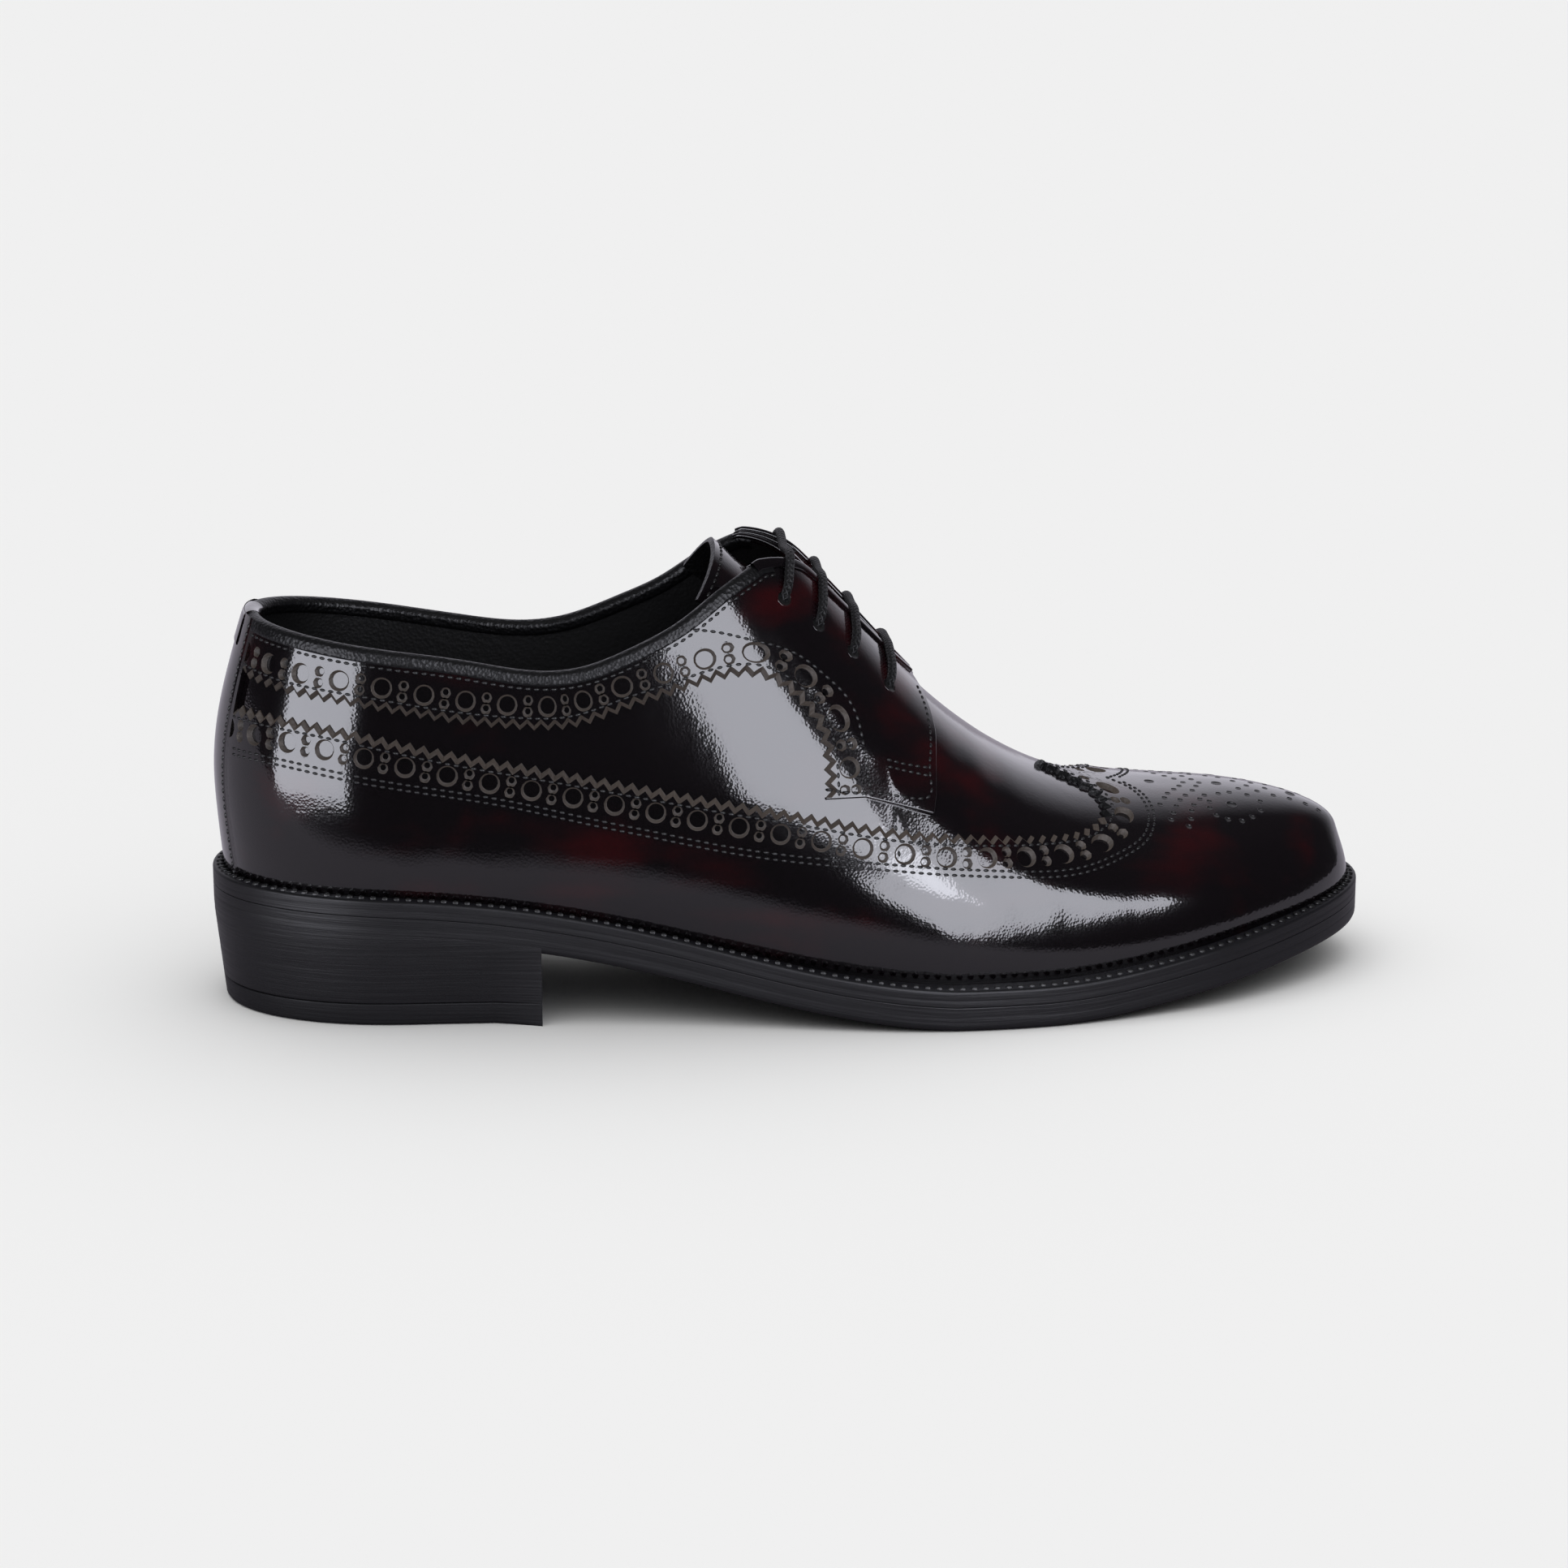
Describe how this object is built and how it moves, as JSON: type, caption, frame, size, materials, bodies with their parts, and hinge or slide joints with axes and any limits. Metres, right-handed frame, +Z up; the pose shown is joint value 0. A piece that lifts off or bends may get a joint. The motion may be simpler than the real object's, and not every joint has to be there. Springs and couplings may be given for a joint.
{
  "type": "brogue shoe",
  "caption": "Right long-wing brogue derby shoe with low stacked heel, welted leather sole, wing overlay, lace facings, tongue and lace bars.",
  "frame": {"origin": "middle of the heel's flat underside, on the ground", "axes": "+X toward the toe, +Y toward the inner side of the foot, +Z up"},
  "size_m": [0.3064, 0.1103, 0.1195],
  "materials": {
    "polished_leather": "high polish, near black with dark red rubbed through",
    "welt_leather": "black edge dressing, satin",
    "sole_leather": "black edge dressing, satin",
    "lining_leather": "smooth black lining leather, soft sheen",
    "heel_rubber": "black rubber, satin",
    "waxed_cord": "black waxed round lace"
  },
  "bodies": {
    "root": {"top_lift": "heel_rubber", "heel_stack": "sole_leather", "outsole": "sole_leather", "welt_midsole": "welt_leather", "insole": "lining_leather", "upper": "polished_leather", "tongue": "polished_leather", "wing_overlay": "polished_leather", "facing_outer": "polished_leather", "facing_inner": "polished_leather", "back_strip": "polished_leather", "lace_bar_1": "waxed_cord", "lace_bar_2": "waxed_cord", "lace_bar_3": "waxed_cord", "lace_bar_4": "waxed_cord"}
  },
  "joints": []
}
